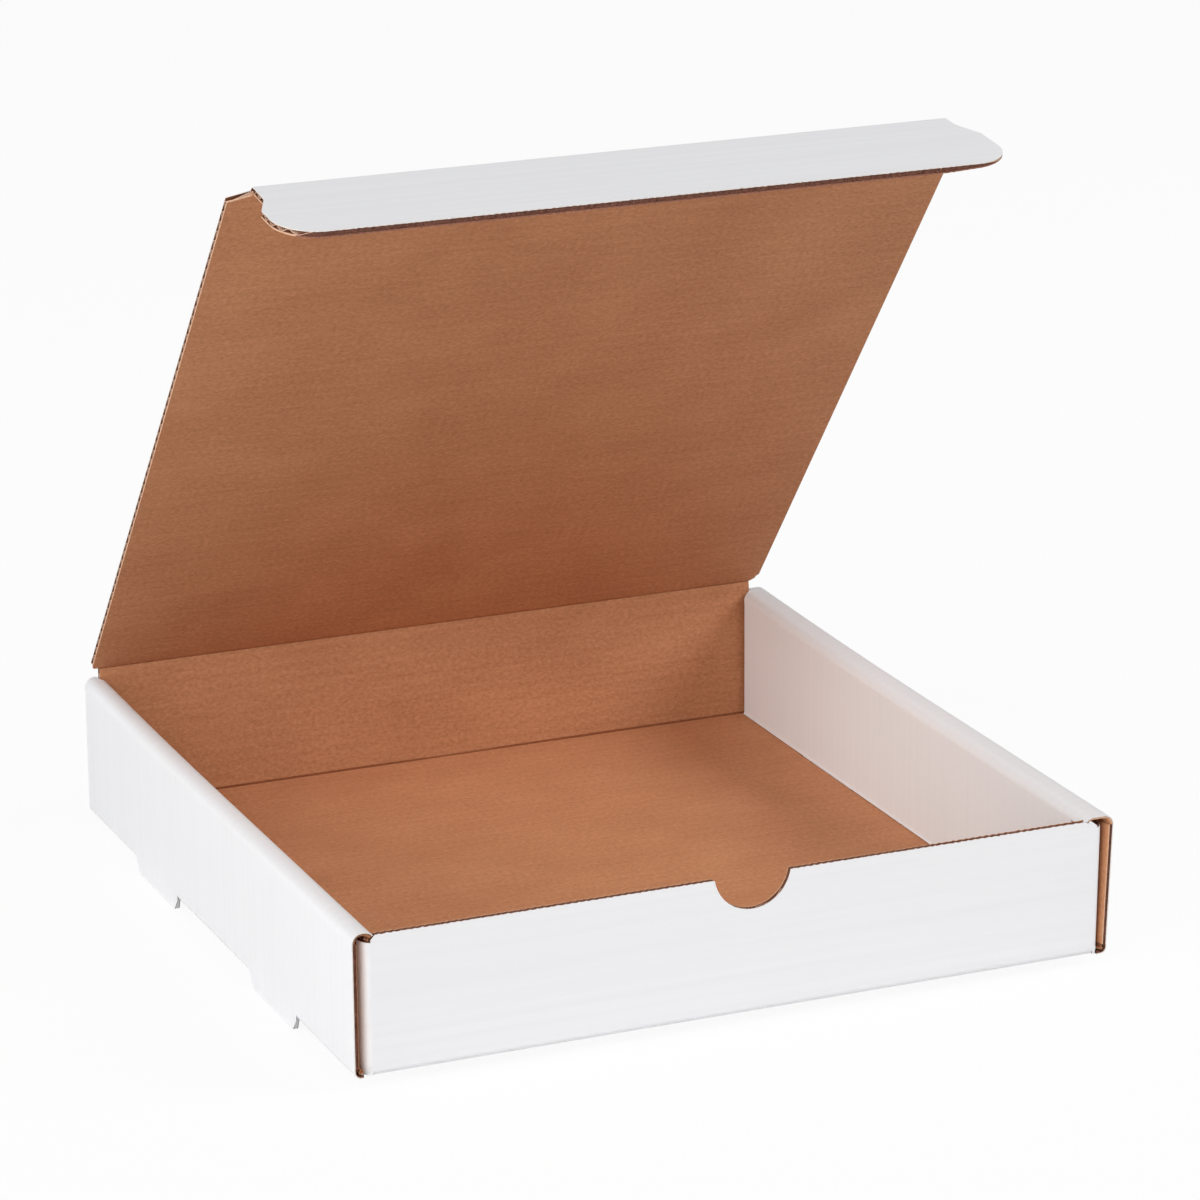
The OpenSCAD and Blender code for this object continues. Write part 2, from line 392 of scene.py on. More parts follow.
# The two liners of one body, as thin sheets with a shown side, a back and cut rims.
class Board:
    def __init__(self):
        self.points = []
        self.flats = []
        self.faces = []
        self.facePaints = []

    def add(self, point, flat):
        self.points.append(point * mm)
        self.flats.append((flat[0] * mm, flat[1] * mm))
        return len(self.points) - 1

    def face(self, corners, outward, paint):
        a, b, c, d = (self.points[k] for k in corners)
        if (c - a).cross(d - b).dot(outward) < 0:
            corners = corners[::-1]
        self.faces.append(corners)
        self.facePaints.append(paint)

    # Both liners of a panel that runs along the stations and lies between two places on
    # either side of them. A thinning is how much thinner the board is at a place across,
    # and the liners are the paints of the outer and the inner one.
    def panel(self, stations, across, lows, highs, columns=1, alongPath=False,
              ends=(1, 1), sides=(1, 1), thinning=None, kraftEdge=None, kraftRim=None,
              liners=(0, 1)):
        lows = lows if isinstance(lows, list) else [lows] * len(stations)
        highs = highs if isinstance(highs, list) else [highs] * len(stations)
        shares = columns if isinstance(columns, list) else [k / columns for k in range(columns + 1)]
        liner = boardSettings["liner"]
        layers = [
            (0, 0, 0, liner, liners[0], whiteCutPaint, 1),
            (1, 0, 1, -(kraftRim or liner), liners[1], kraftEdge or kraftCutPaint, -1),
        ]
        for whole, offset, backWhole, backOffset, paint, cutPaint, facing in layers:
            shown, back = [], []
            for station, low, high in zip(stations, lows, highs):
                shownRow, backRow = [], []
                for share in shares:
                    side = low + (high - low) * share
                    flat = (station.run, side) if alongPath else (side, station.run)
                    place = station.point + across * side
                    room = station.room - (thinning(side) if thinning else 0)
                    shownDepth = whole * room + offset
                    backDepth = backWhole * room + backOffset
                    shownRow.append(self.add(place - station.normal * shownDepth, flat))
                    backRow.append(self.add(place - station.normal * backDepth, flat))
                shown.append(shownRow)
                back.append(backRow)
            self.skin(stations, shown, facing, paint)
            self.skin(stations, back, -facing, backAndShadePaint)
            self.rim(stations, shown, back, across, cutPaint, ends, sides)

    # A wall whose path and flutes both run along x: the same panel, with the place across
    # the flutes taken from its height.
    def panelUp(self, path, low, highs, run, columns, ends, sides):
        before = len(self.flats)
        self.panel(path, zAxis, low, highs, columns, True, ends, sides)
        for index in range(before, len(self.flats)):
            along, height = self.flats[index]
            self.flats[index] = (along, height + run * mm)

    # Closes a cut side with its outer liner, where the die has drawn that over the edge.
    def cap(self, stations, across, places, outward):
        rows = []
        for station, place in zip(stations, places):
            point = station.point + across * place
            flat = (station.run, place)
            rows.append([self.add(point, flat), self.add(point - station.normal * station.room, flat)])
        for (a, b), (c, d) in zip(rows, rows[1:]):
            self.face((a, b, d, c), outward, whitePaint)

    def skin(self, stations, rows, facing, paint):
        for row in range(len(rows) - 1):
            outward = (stations[row].normal + stations[row + 1].normal) * facing
            for column in range(len(rows[0]) - 1):
                corners = (
                    rows[row][column],
                    rows[row + 1][column],
                    rows[row + 1][column + 1],
                    rows[row][column + 1],
                )
                self.face(corners, outward, paint)

    def rim(self, stations, shown, back, across, paint, ends, sides):
        last = len(shown) - 1
        for row, neighbour, wanted in ((0, 1, ends[0]), (last, last - 1, ends[1])):
            if not wanted:
                continue
            outward = stations[row].point - stations[neighbour].point
            for column in range(len(shown[0]) - 1):
                corners = (
                    shown[row][column],
                    shown[row][column + 1],
                    back[row][column + 1],
                    back[row][column],
                )
                self.face(corners, outward, paint)
        for column, outward, wanted in ((0, -across, sides[0]), (-1, across, sides[1])):
            if not wanted:
                continue
            for row in range(last):
                corners = (
                    shown[row][column],
                    shown[row + 1][column],
                    back[row + 1][column],
                    back[row][column],
                )
                self.face(corners, outward, paint)

    def build(self, name):
        mesh = bpy.data.meshes.new(name)
        mesh.from_pydata([tuple(p) for p in self.points], [], self.faces)
        layer = mesh.uv_layers.new(name="blank")
        for loop in mesh.loops:
            layer.data[loop.index].uv = self.flats[loop.vertex_index]
        for paint in paints:
            mesh.materials.append(paint)
        mesh.polygons.foreach_set("material_index", self.facePaints)
        work = bmesh.new()
        work.from_mesh(mesh)
        bmesh.ops.remove_doubles(work, verts=work.verts, dist=4e-6)
        work.to_mesh(mesh)
        work.free()
        mesh.shade_smooth()
        mesh.set_sharp_from_angle(angle=math.radians(40))
        piece = bpy.data.objects.new(name, mesh)
        bpy.context.scene.collection.objects.link(piece)
        return piece


# The middle of the board: bare sheets that the geometry nodes below turn into flutes,
# and into the frayed paper that a cut along the flutes leaves.
class Core:
    def __init__(self):
        self.points = []
        self.faces = []
        self.across = []
        self.outward = []
        self.rooms = []

    def add(self, point, across, outward, room):
        self.points.append(point * mm)
        self.across.append(across * mm)
        self.outward.append(outward)
        self.rooms.append(room * mm)

    def weave(self, lines):
        start = len(self.points) - sum(len(line) for line in lines)
        width = len(lines[0])
        for row in range(len(lines) - 1):
            for column in range(width - 1):
                corner = start + row * width + column
                self.faces.append((corner, corner + 1, corner + width + 1, corner + width))

    # Flutes that run across the path, between its two sides.
    def crossFlutes(self, stations, across, lows, highs, thinning=None):
        step = boardSettings["flutePitch"] / 8
        lows = lows if isinstance(lows, list) else [lows] * len(stations)
        highs = highs if isinstance(highs, list) else [highs] * len(stations)
        lines = []
        for here, there, low, nextLow, high, nextHigh in zip(
            stations, stations[1:], lows, lows[1:], highs, highs[1:]
        ):
            count = max(1, math.ceil((there.run - here.run) / step))
            for part in range(count + (there is stations[-1])):
                share = part / count
                point = here.point.lerp(there.point, share)
                normal = here.normal.lerp(there.normal, share)
                room = here.room + (there.room - here.room) * share
                run = here.run + (there.run - here.run) * share
                ends = (low + (nextLow - low) * share, high + (nextHigh - high) * share)
                line = []
                for side in ends:
                    left = room - (thinning(side) if thinning else 0)
                    place = point + across * side - normal * (left / 2)
                    self.add(place, run, normal, left)
                    line.append(place)
                lines.append(line)
        self.weave(lines)

    # Flutes that follow the path, side by side across it.
    def pathFlutes(self, stations, across, low, high):
        step = boardSettings["flutePitch"] / 8
        count = math.ceil((high - low) / step)
        lines = []
        for part in range(count + 1):
            side = low + (high - low) * part / count
            line = []
            for station in stations:
                place = station.point + across * side - station.normal * (station.room / 2)
                self.add(place, side, station.normal, station.room)
                line.append(place)
            lines.append(line)
        self.weave(lines)

    # Frayed strip along a cut: points on the outer liner's edge, each with the board's
    # facing, the way out of the cut, and how much the board is crushed there.
    def fray(self, edge, rows=5):
        liner = boardSettings["liner"]
        lines = []
        for point, normal, out, crush in edge:
            line = []
            for row in range(rows + 1):
                depth = liner + (thickness - crush - 2 * liner) * row / rows
                self.add(point - normal * depth, row, -out, thickness)
                line.append(point)
            lines.append(line)
        self.weave(lines)

    def build(self, name):
        mesh = bpy.data.meshes.new(name)
        mesh.from_pydata([tuple(p) for p in self.points], [], self.faces)
        across = mesh.attributes.new("acrossFlutes", "FLOAT", "POINT")
        across.data.foreach_set("value", self.across)
        room = mesh.attributes.new("boardRoom", "FLOAT", "POINT")
        room.data.foreach_set("value", self.rooms)
        outward = mesh.attributes.new("outward", "FLOAT_VECTOR", "POINT")
        outward.data.foreach_set("vector", [x for v in self.outward for x in v])
        piece = bpy.data.objects.new(name, mesh)
        bpy.context.scene.collection.objects.link(piece)
        return piece


def newNodeTree(name, sizes):
    tree = bpy.data.node_groups.new(name, "GeometryNodeTree")
    tree.interface.new_socket("Geometry", in_out="INPUT", socket_type="NodeSocketGeometry")
    for label, kind in sizes:
        tree.interface.new_socket(label, in_out="INPUT", socket_type=kind)
    tree.interface.new_socket("Geometry", in_out="OUTPUT", socket_type="NodeSocketGeometry")
    graph = Graph(tree)
    source = tree.nodes.new("NodeGroupInput")
    inputs = {socket.name: Wire(graph, socket) for socket in source.outputs if socket.name}
    return tree, graph, inputs


def attribute(graph, name, kind="FLOAT"):
    return graph.add("GeometryNodeInputNamedAttribute", {"data_type": kind}, {"Name": name})


# Gives a bare sheet the paper's thickness, as a closed shell, and ends the tree.
def thickenAndEnd(graph, sheet, outward, paper, material):
    push = graph.add("ShaderNodeVectorMath", {"operation": "SCALE"}, {0: outward, "Scale": paper})
    raised = graph.add(
        "GeometryNodeExtrudeMesh", {"mode": "FACES"}, {"Mesh": sheet, "Offset": push, "Individual": False}
    )
    under = graph.add("GeometryNodeFlipFaces", values={"Mesh": sheet})
    joined = graph.tree.nodes.new("GeometryNodeJoinGeometry")
    graph.tree.links.new(under.socket, joined.inputs[0])
    graph.tree.links.new(raised.socket, joined.inputs[0])
    merged = graph.add(
        "GeometryNodeMergeByDistance", values={"Geometry": Wire(graph, joined.outputs[0]), "Distance": 2e-6}
    )
    real = graph.add("GeometryNodeRealizeInstances", values={"Geometry": merged})
    painted = graph.add("GeometryNodeSetMaterial", values={"Geometry": real, "Material": material})
    end = graph.tree.nodes.new("NodeGroupOutput")
    graph.tree.links.new(painted.socket, end.inputs[0])


def makeFluteTree():
    sizes = [
        ("Flute pitch", "NodeSocketFloat"),
        ("Liner", "NodeSocketFloat"),
        ("Paper", "NodeSocketFloat"),
        ("Unevenness", "NodeSocketFloat"),
        ("Seed", "NodeSocketFloat"),
        ("Material", "NodeSocketMaterial"),
    ]
    tree, graph, inputs = newNodeTree("flutes", sizes)
    across = attribute(graph, "acrossFlutes")
    room = attribute(graph, "boardRoom")
    outward = attribute(graph, "outward", "FLOAT_VECTOR")
    place = graph.add("GeometryNodeInputPosition")
    values = {"Vector": place, "W": inputs["Seed"], "Scale": 60.0, "Detail": 1.0}
    drift = graph.add("ShaderNodeTexNoise", {"noise_dimensions": "4D"}, values)
    turn = graph.add("ShaderNodeMath", {"operation": "DIVIDE"}, {0: across, 1: inputs["Flute pitch"]})
    swing = (turn * (2 * math.pi) + (drift - 0.5) * inputs["Unevenness"]).sine()
    reach = room * 0.5 - inputs["Liner"] - inputs["Paper"] * 0.5
    offset = swing * reach - inputs["Paper"] * 0.5
    push = graph.add("ShaderNodeVectorMath", {"operation": "SCALE"}, {0: outward, "Scale": offset})
    waved = graph.add("GeometryNodeSetPosition", values={"Geometry": inputs["Geometry"], "Offset": push})
    thickenAndEnd(graph, waved, outward, inputs["Paper"], inputs["Material"])
    return tree


def makeFrayTree():
    sizes = [
        ("Depth", "NodeSocketFloat"),
        ("Paper", "NodeSocketFloat"),
        ("Seed", "NodeSocketFloat"),
        ("Material", "NodeSocketMaterial"),
    ]
    tree, graph, inputs = newNodeTree("fray", sizes)
    inward = attribute(graph, "outward", "FLOAT_VECTOR")
    place = graph.add("GeometryNodeInputPosition")
    values = {"Vector": place, "W": inputs["Seed"], "Scale": 420.0, "Detail": 3.0}
    tear = graph.add("ShaderNodeTexNoise", {"noise_dimensions": "4D"}, values)
    depth = graph.add("ShaderNodeMapRange", values={0: tear, 1: 0.3, 2: 0.7, 3: 0.12, 4: 1.0})
    push = graph.add(
        "ShaderNodeVectorMath", {"operation": "SCALE"}, {0: inward, "Scale": depth * inputs["Depth"]}
    )
    torn = graph.add("GeometryNodeSetPosition", values={"Geometry": inputs["Geometry"], "Offset": push})
    thickenAndEnd(graph, torn, inward, inputs["Paper"], inputs["Material"])
    return tree


# Runs a tree on a piece and keeps the result as a plain mesh under the same name.
def applyTree(piece, tree, sizes):
    modifier = piece.modifiers.new("shape", "NODES")
    modifier.node_group = tree
    sockets = {item.name: item.identifier for item in tree.interface.items_tree if item.in_out == "INPUT"}
    for label, value in sizes.items():
        modifier[sockets[label]] = value
    evaluated = piece.evaluated_get(bpy.context.evaluated_depsgraph_get())
    mesh = bpy.data.meshes.new_from_object(evaluated)
    piece.modifiers.clear()
    piece.data = mesh
    for name in ("acrossFlutes", "boardRoom", "outward"):
        if name in mesh.attributes:
            mesh.attributes.remove(mesh.attributes[name])
    work = bmesh.new()
    work.from_mesh(mesh)
    bmesh.ops.recalc_face_normals(work, faces=work.faces)
    work.to_mesh(mesh)
    work.free()
    mesh.shade_smooth()
    mesh.set_sharp_from_angle(angle=math.radians(60))
    return piece


fluteTree = makeFluteTree()
frayTree = makeFrayTree()


def fluted(core, name, seed):
    sizes = {
        "Flute pitch": boardSettings["flutePitch"] * mm,
        "Liner": boardSettings["liner"] * mm,
        "Paper": boardSettings["medium"] * mm,
        "Unevenness": 0.9,
        "Seed": seed,
        "Material": fluteMaterial,
    }
    return applyTree(core.build(name), fluteTree, sizes)


def frayed(core, name, seed):
    sizes = {
        "Depth": boardSettings["fray"] * mm,
        "Paper": boardSettings["medium"] * mm,
        "Seed": seed,
        "Material": shadedTornMaterial,
    }
    return applyTree(core.build(name), frayTree, sizes)


# How far the toothed cutting rule leaves a cut edge short, at a place along it.
def tooth(along, seed=0.0):
    wave = abs(math.sin(math.pi * along / boardSettings["toothPitch"]))
    ragged = noise.noise(Vector((along * 0.9, seed, 0.3)))
    return boardSettings["toothDepth"] * (0.55 * wave + 0.45 * (0.5 + ragged))


def spread(low, high, step, extra=()):
    count = math.ceil((high - low) / step)
    places = [low + (high - low) * k / count for k in range(count + 1)]
    return sorted(set(places) | {x for x in extra if low <= x <= high})


# Shares of a length at which a panel is divided: closer near its start, where the die
# has crushed the board.
def crushedShares(low, high, count=8):
    length = high - low
    near = [0, 0.4, 0.9, 1.6, 2.6, traySettings["crushReach"]]
    return [x / length for x in near] + [
        (near[-1] + (length - near[-1]) * k / count) / length for k in range(1, count + 1)
    ]


# How much thinner the board is near a cut edge at a place.
def crushed(amount, edge):
    reach = traySettings["crushReach"]
    return lambda side: amount * max(0.0, 1 - (side - edge) / reach) ** 1.5


# Small even scallops that the cutting rule leaves on the rolled panel's rear edge.
def scallop(along):
    return traySettings["scallopDepth"] * abs(math.sin(math.pi * along / traySettings["scallopPitch"]))


# Side wall on one side: tongues, outer panel, rolled top edge and inner panel.
def laySideWall(board, core, torn, side, flare):
    radius = traySettings["rollRadius"]
    steps = traySettings["arcSteps"]
    out = xAxis * side
    front, back = -halfDepth, halfDepth
    rollFront = traySettings["rollRoom"] + thickness - halfDepth
    rollBack = halfDepth - thickness - traySettings["cutGap"]
    innerBack = halfDepth - thickness - traySettings["rearGap"]
    innerFront = thickness + traySettings["earSlot"] - halfDepth
    lockHalf = traySettings["lockLength"] / 2
    locks = [-traySettings["lockPitch"] / 2, traySettings["lockPitch"] / 2]
    pinch = boardSettings["pinch"]

    foldCentre = out * outerX + zAxis * thickness
    fold = creaseStations(foldCentre, thickness, out, zAxis, -90, 0, steps)
    fold = measured(fold, outerX - boardSettings["creaseLead"])
    foot = fold[-1].point
    head = out * (halfWidth + flare) + zAxis * rollZ
    wallNormal = out * (head.z - foot.z) - zAxis * flare
    outer = [Station(foot, out)]
    outer += [Station(foot.lerp(head, share), wallNormal) for share in (0.05, 0.5, 1.0)]
    outer = measured(outer, fold[-1].run)
    rollCentre = out * (halfWidth + flare - radius) + zAxis * rollZ
    outerRoll = measured(arcStations(rollCentre, radius, out, zAxis, 0, 90, steps, pinch), outer[-1].run)
    innerCentre = out * (innerX + radius) + zAxis * rollZ
    innerRoll = [outerRoll[-1], *arcStations(innerCentre, radius, out, zAxis, 90, 180, steps, pinch)]
    innerRoll = measured(innerRoll, outerRoll[-1].run)
    frontRoll = innerRoll[:2 + round(steps * (traySettings["rollEnd"] - 90) / 90)]
    footZ = thickness + traySettings["cutGap"]
    innerTop = out * innerX + zAxis * rollZ
    innerFoot = out * innerX + zAxis * footZ
    inner = measured([Station(innerTop, -out), Station(innerFoot, -out)], innerRoll[-1].run)
    tabFoot = out * innerX + zAxis * (thickness / 10)
    tab = measured([Station(innerFoot, -out), Station(tabFoot, -out)], inner[-1].run)

    gaps = [front, locks[0] - lockHalf, locks[0] + lockHalf, locks[1] - lockHalf, locks[1] + lockHalf, back]
    for low, high in zip(gaps[::2], gaps[1::2]):
        board.panel(fold, yAxis, low, high, 4, True, ends=(0, 0), kraftEdge=backAndShadePaint)
        inset = traySettings["crushReach"] if low == front else fluteRoom
        core.pathFlutes(fold, yAxis, low + inset, high - fluteRoom)
    edgeCrush = crushed(traySettings["edgeCrush"], front)
    rollCrush = crushed(traySettings["rollCrush"], front)
    # The left wall's cut edges show the inner liner's rim in the dark back paint as painted shade; the right
    # wall's show the pale cut paint.
    shadedLeftEdgePaint = backAndShadePaint if side < 0 else kraftCutPaint
    board.panel(outer, yAxis, front + tooth(0), back - tooth(1), crushedShares(front, back), True,
                ends=(0, 0), thinning=edgeCrush, kraftEdge=shadedLeftEdgePaint)
    core.pathFlutes([outer[0], outer[-1]], yAxis, front + traySettings["crushReach"], back - 1)
    # The roll's outer half runs the full depth, and its inner half lies between the end walls.
    lows = [front if place < len(frontRoll) else rollFront for place in range(len(innerRoll))]
    last = len(innerRoll) - 1
    highs = [rollBack + (innerBack - rollBack) * place / last for place in range(last + 1)]
    highs[:2] = [back, back]
    halves = ((outerRoll, front, back, whitePaint), (innerRoll, lows, highs, rolledPaint))
    for roll, low, high, white in halves:
        board.panel(roll, yAxis, low, high, crushedShares(front, back), True, ends=(0, 0),
                    thinning=rollCrush, kraftEdge=shadedLeftEdgePaint, liners=(white, kraftPaint))
    for roll, rear in ((outerRoll, back), (innerRoll, rollBack)):
        core.pathFlutes(roll, yAxis, front + traySettings["crushReach"], rear - 1)

    # The inner panel's rear edge is scalloped by the cutting rule, and its lower edge is
    # bent in a little, so its path runs along z.
    burr = traySettings["burr"]
    zs = [footZ, *spread(footZ + 2 * burr, rollZ, traySettings["scallopPitch"] / 6)]
    innerPath = [Station(out * innerX + zAxis * z, -out, thickness, inner[0].run + rollZ - z) for z in zs]
    innerPath[0].point -= out * burr
    highs = [innerBack - scallop(z) for z in zs]
    board.panel(innerPath, yAxis, innerFront, highs, 12, True, ends=(1, 0), liners=(rolledPaint, kraftPaint))
    core.pathFlutes([innerPath[1], innerPath[-1]], yAxis, innerFront + 1, innerBack - 1)
    tabHalf = lockHalf - traySettings["tabGap"]
    for middle in locks:
        board.panel(tab, yAxis, middle - tabHalf, middle + tabHalf, 4, True, ends=(0, 1))
        core.pathFlutes(tab, yAxis, middle - tabHalf + fluteRoom, middle + tabHalf - fluteRoom)
        layTongue(board, core, out, middle, outer[0].run)

    def frayAt(stations, y, way, crush):
        places = resampled(stations, 0.6)
        torn.fray([(s.point + yAxis * y, s.normal, way, thickness - s.room + crush(y)) for s in places])

    frayAt([*fold, *outer[1:]], front, -yAxis, edgeCrush)
    frayAt([*outerRoll, *frontRoll[1:]], front, -yAxis, rollCrush)
    frayAt([*fold, *outer[1:]], back, yAxis, edgeCrush)
    frayAt(inner, innerFront, -yAxis, edgeCrush)


# A tongue of the outer panel, which goes on down past the floor.
def layTongue(board, core, out, middle, wallRun):
    drop = traySettings["tongueDrop"]
    half = traySettings["lockLength"] / 2
    slant = traySettings["tongueSlant"]
    rise = thickness + boardSettings["creaseLead"]
    tips = [(-drop, half - slant), (0, half), (rise, half)]
    path = measured([Station(out * halfWidth + zAxis * z, out) for z, _ in tips], wallRun - drop - rise)
    lows = [middle - width for _, width in tips]
    highs = [middle + width for _, width in tips]
    crush, reach = traySettings["tongueCrush"], traySettings["crushReach"]

    def thinning(side):
        return crush * min(1.0, max(0.0, 1 - (half - slant / 2 - abs(side - middle)) / reach))

    shares = [0, 0.04, 0.1, 0.3, 0.5, 0.7, 0.9, 0.96, 1]
    board.panel(path, yAxis, lows, highs, shares, True, ends=(1, 0), thinning=thinning)
    core.pathFlutes(path[1:], yAxis, lows[1] + reach, highs[1] - reach)
    for places, outward in ((lows, -yAxis), (highs, yAxis)):
        for station, place in zip(path, places):
            station.room = thickness - thinning(place)
        board.cap(path, yAxis, places, outward)


def resampled(stations, step):
    found = []
    for here, there in zip(stations, stations[1:]):
        count = max(1, math.ceil((there.point - here.point).length / step))
        for part in range(count):
            share = part / count
            normal = here.normal.lerp(there.normal, share)
            room = here.room + (there.room - here.room) * share
            found.append(Station(here.point.lerp(there.point, share), normal, room))
    return [*found, stations[-1]]


# The floor between its creases, cut back where the slots of the locking tabs are.
def layFloor(board, core):
    lockHalf = traySettings["lockLength"] / 2
    pitch = traySettings["lockPitch"] / 2
    lead = boardSettings["creaseLead"]
    end = halfDepth - thickness - lead
    slotX = innerX - traySettings["cutGap"]
    breaks = [-end, -pitch - lockHalf, -pitch + lockHalf, pitch - lockHalf, pitch + lockHalf, end]
    for index, (low, high) in enumerate(zip(breaks, breaks[1:])):
        slotted = index % 2 == 1
        half = slotX if slotted else outerX - lead
        path = [Station(yAxis * y, -zAxis, thickness, y) for y in (low, high)]
        board.panel(path, xAxis, -half, half, 8, ends=(not slotted, not slotted), sides=(slotted, slotted))
        inset = fluteRoom if slotted else 0.0
        core.crossFlutes(path, xAxis, inset - half, half - inset)


# Height that the thumb notch leaves at x, below the front wall's top edge.
def notchTop(x, top):
    radius = traySettings["notchRadius"]
    centre = top + radius - traySettings["notchDepth"]
    reach = radius**2 - (x - traySettings["notchX"]) ** 2
    return min(top, centre - math.sqrt(reach)) if reach > 0 else top


# How far the thumb notch reaches to each side of its middle at height z.
def notchReach(z, top):
    radius = traySettings["notchRadius"]
    centre = top + radius - traySettings["notchDepth"]
    return math.sqrt(max(0.0, radius**2 - (centre - z) ** 2))


# The way out of a cut edge at one of its points, square to the edge.
def edgeOut(xs, heights, index):
    before = max(0, index - 1)
    after = min(len(xs) - 1, index + 1)
    slope = Vector((xs[after] - xs[before], 0, heights[after] - heights[before])).normalized()
    return Vector((-slope.z, 0, slope.x))


# Floor crease and corner flaps of an end wall; the run where its upright panel starts.
def layEndFold(board, core, out):
    centre = out * (halfDepth - thickness) + zAxis * thickness
    fold = creaseStations(centre, thickness, out, zAxis, -90, 0, traySettings["arcSteps"])
    fold = measured(fold, halfDepth - thickness - boardSettings["creaseLead"])
    board.panel(fold, xAxis, -panelHalf, panelHalf, 8, ends=(0, 0))
    core.crossFlutes(fold, xAxis, fluteRoom - panelHalf, panelHalf - fluteRoom)
    run = fold[-1].run - fold[-1].point.z
    for turn in (-1, 1):
        layCornerFlap(board, core, out, xAxis * turn)
    return run


# Front wall, whose top edge follows the teeth of the cutting rule, the thumb notch, and
# a step down at each end where it goes under the roll.
def layFrontWall(board, core, torn):
    out = -yAxis
    run = layEndFold(board, core, out)
    face = out * halfDepth
    top = traySettings["frontTop"]
    drop, step = traySettings["cornerDrop"], traySettings["cornerRun"]
    foot = thickness + boardSettings["creaseLead"]
    notchX, radius = traySettings["notchX"], traySettings["notchRadius"]
    notchHalf = math.sqrt(radius**2 - (radius - traySettings["notchDepth"]) ** 2)
    arc = [notchX + notchHalf * math.sin(math.radians(turn)) for turn in range(-90, 91, 4)]
    xs = sorted({
        *spread(-flatHalf, flatHalf, boardSettings["toothStep"]), *arc,
        -topHalf, -topHalf - step * 0.6, topHalf + step * 0.6, topHalf,
    })

    def height(x):
        share = min(1.0, max(0.0, (abs(x) - topHalf) / step))
        notched = notchTop(x, top)
        if notched < top:
            return notched - boardSettings["toothDepth"] * 0.3 * noise.noise(Vector((x * 1.3, 7, 0)))
        return top - drop * share - tooth(x) * (1 - share)

    heights = [height(x) for x in xs]
    path = [Station(face + xAxis * x, out, thickness, x) for x in xs]
    board.panelUp(path, foot, heights, run, 5, ends=(0, 0), sides=(0, 1))

    room = traySettings["notchRoom"]
    floorZ = top - traySettings["notchDepth"] - room
    below = [Station(face + zAxis * z, out, thickness, run + z) for z in (foot, floorZ)]
    core.crossFlutes(below, xAxis, -flatHalf, flatHalf)
    zs = [*spread(floorZ, top - drop, 3.0), top - room]
    upper = [Station(face + zAxis * z, out, thickness, run + z) for z in zs]
    reaches = [notchReach(z, top) + room for z in zs]
    core.crossFlutes(upper, xAxis, fluteRoom - topHalf, [notchX - reach for reach in reaches])
    core.crossFlutes(upper, xAxis, [notchX + reach for reach in reaches], topHalf - fluteRoom)
    edge = []
    for index, (x, station, high) in enumerate(zip(xs, path, heights)):
        if abs(x) < topHalf:
            edge.append((station.point + zAxis * high, out, edgeOut(xs, heights, index), 0.0))
    torn.fray(edge)


# Rear wall, up to the lid's crease; above the corner flaps it is as wide as the crease.
def layRearWall(board, core):
    out = yAxis
    run = layEndFold(board, core, out)
    face = out * halfDepth
    foot = thickness + boardSettings["creaseLead"]
    top = hinge.z - lidSettings["creaseReach"]
    main = [Station(face + zAxis * z, out, thickness, run + z) for z in (foot, cornerTop, top)]
    for low, high, path in (
        (-panelHalf, -flatHalf, main[1:]),
        (-flatHalf, flatHalf, main),
        (flatHalf, panelHalf, main[1:]),
    ):
        sides = (low < -flatHalf, high > flatHalf)
        board.panel(path, xAxis, low, high, 8, ends=(path is not main, 0), sides=sides)
        core.crossFlutes(path, xAxis, low, high)


def layCornerFlap(board, core, out, turn):
    radius, depth = traySettings["cornerRadius"], traySettings["cornerDepth"]
    fold = arcStations(Vector(), 1, out, turn, 0, 90, 12, boardSettings["pinch"])
    for station in fold:
        back, aside = station.point.dot(out), station.point.dot(turn)
        station.point = out * (halfDepth - depth * (1 - back)) + turn * (cornerX - radius * (1 - aside))
        station.normal = (out * back * radius + turn * aside * depth).normalized()
    fold = measured(fold, flatHalf)
    board.panel(fold, zAxis, cornerFoot, cornerTop, 6, True, ends=(0, 0))
    foot = thickness + traySettings["cutGap"]
    core.pathFlutes(fold, zAxis, foot, cornerTop - 0.4)
    length = traySettings["flapLength"]
    slope = traySettings["flapSlope"]
    marks = [
        (depth, foot, cornerTop),
        (length - slope, foot, cornerTop),
        (length - slope / 3, foot, cornerTop - slope * 2 / 3),
        (length, foot + slope, cornerTop - slope),
    ]
    path = []
    for along, _, _ in marks:
        place = out * (halfDepth - along) + turn * cornerX
        path.append(Station(place, turn, thickness, fold[-1].run + along - depth))
    lows = [low for _, low, _ in marks]
    highs = [high for _, _, high in marks]
    board.panel(path, zAxis, lows, highs, 6, True, ends=(0, 1))
    core.pathFlutes(path[:2], zAxis, foot + 0.4, cornerTop - 0.4)


# The folded box doesn't stand quite square. Its side walls have sprung up a little at the
# rear, and its front right corner stands out, with the foot of the wall beside it.
def settleSideWall(point):
    x, y, z = point / mm
    forward = 0.5 - y / (2 * halfDepth)
    rear = max(0.0, y / halfDepth)
    lift = traySettings["rearLift"] * rear**2 * z / traySettings["wallTop"]
    aside = min(1.0, max(0.0, (x - panelHalf) / (outerX - panelHalf)))
    shift = traySettings["footSplay"] * forward * aside * max(0.0, 1 - z / rollZ)
    return point + (xAxis * shift + zAxis * lift) * mm


def settleEndWall(point):
    x, y, z = point / mm
    forward = max(0.0, 0.5 - y / (2 * halfDepth)) ** 3
    start = flatHalf - traySettings["splayRun"]
    aside = min(1.0, max(0.0, (x - start) / traySettings["splayRun"]))
    low, high = traySettings["rightSplay"]
    shift = (low + (high - low) * z / traySettings["frontTop"]) * forward * aside
    return point + xAxis * shift * mm


